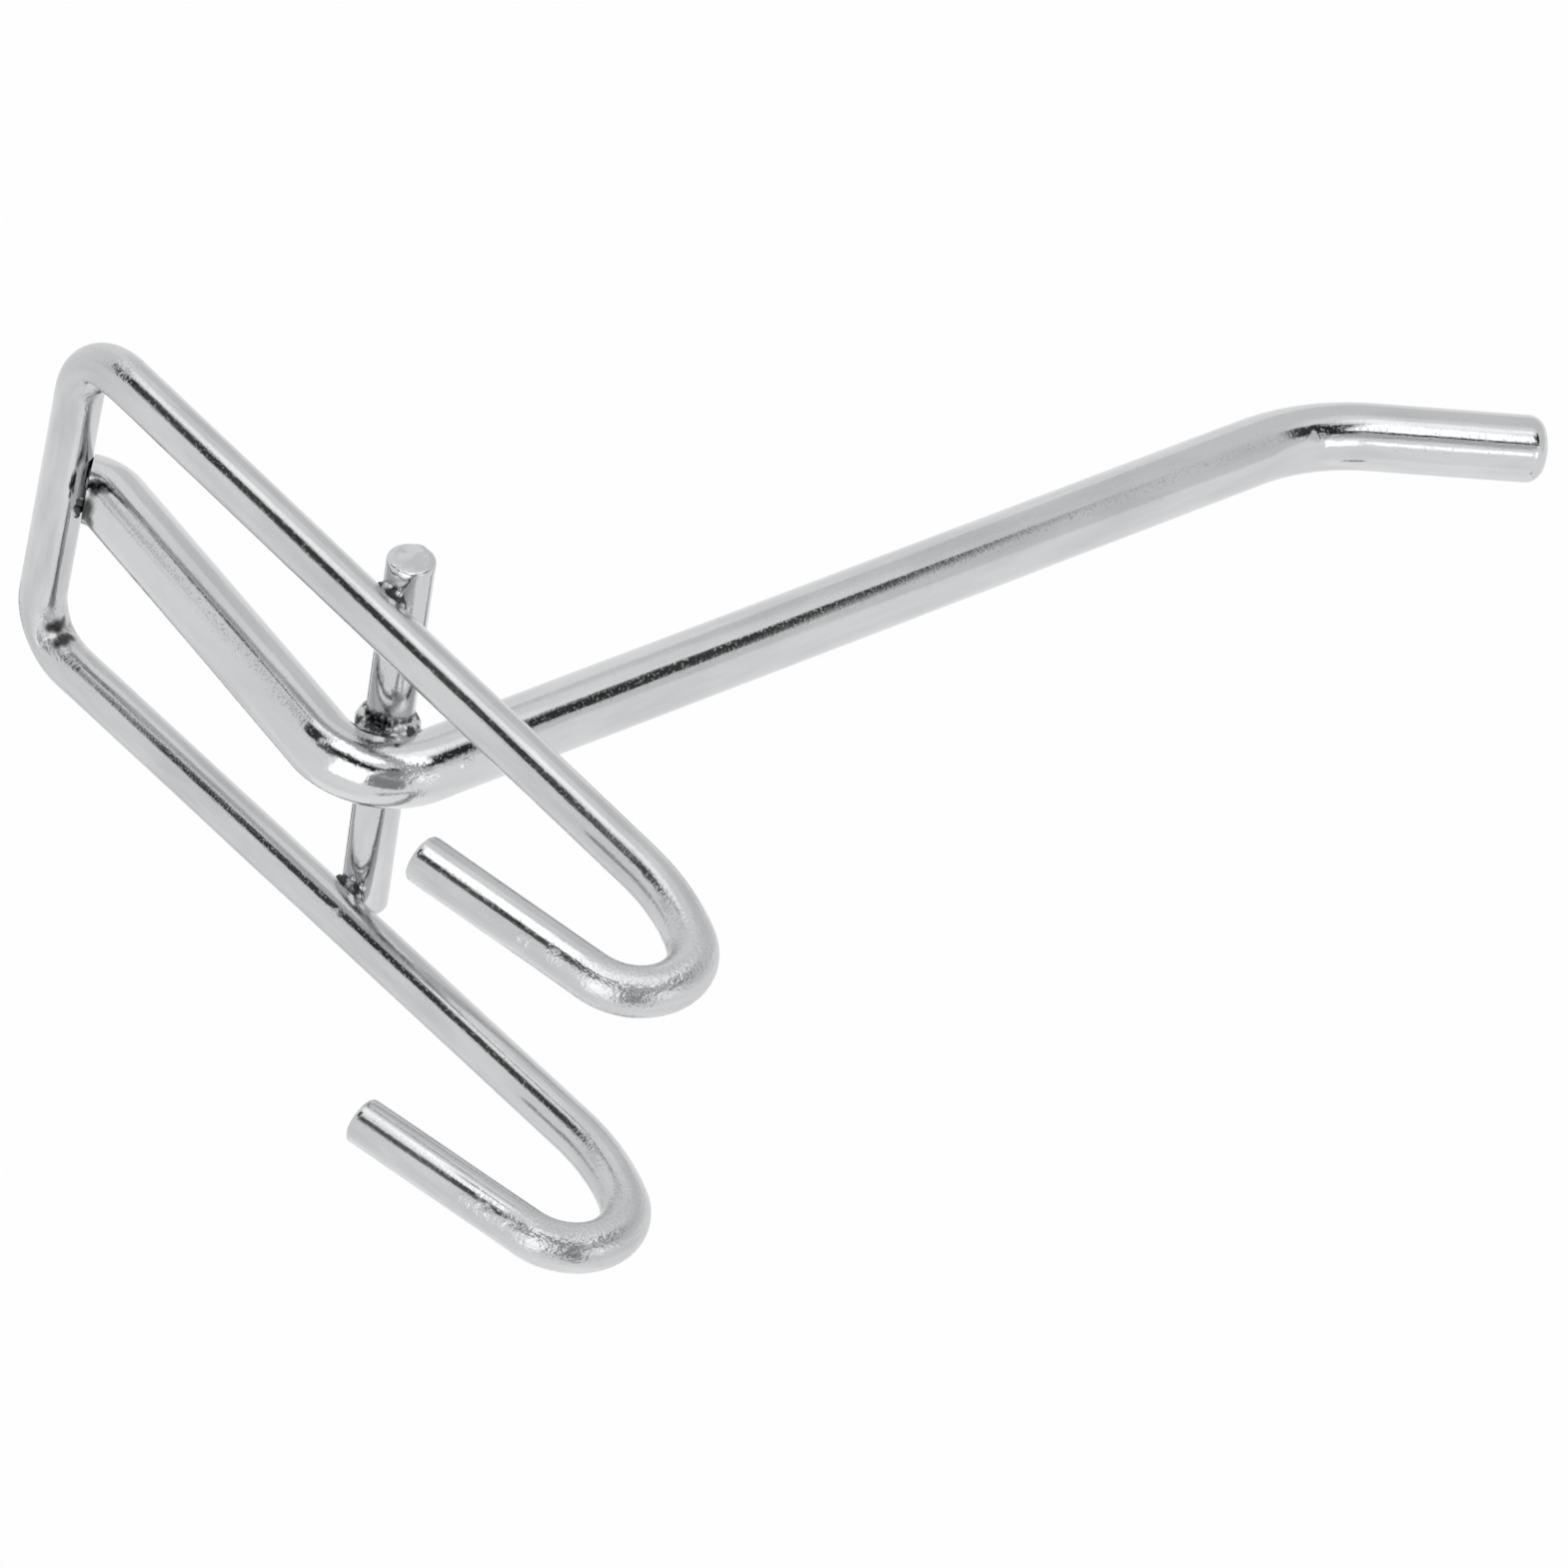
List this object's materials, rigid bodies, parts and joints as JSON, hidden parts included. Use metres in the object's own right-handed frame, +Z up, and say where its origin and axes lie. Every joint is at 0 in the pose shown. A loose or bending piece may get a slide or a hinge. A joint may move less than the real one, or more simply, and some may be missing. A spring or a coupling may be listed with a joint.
{
  "type": "pegboard hook",
  "caption": "Welded chrome wire display hook: a U-shaped back frame hangs by two prongs and carries a straight arm with a raised tip.",
  "frame": {"origin": "midway between the two prongs, at the centre of their tight bends, where the hook hangs", "axes": "+Z up as it hangs, +Y towards the wall or board, -Y out along the arm, X along the crossbar"},
  "size_m": [0.0314, 0.1116, 0.0705],
  "materials": {
    "chrome_wire": "bright chrome plate on drawn steel wire",
    "plated_weld": "chrome plate over a resistance weld, slightly rough and darker"
  },
  "bodies": {
    "root": {"back_frame": "chrome_wire", "arm": "chrome_wire", "cross_pin": "chrome_wire", "left_pin_weld": "plated_weld", "right_pin_weld": "plated_weld", "arm_pin_weld": "plated_weld", "arm_foot_weld": "plated_weld"}
  },
  "joints": []
}
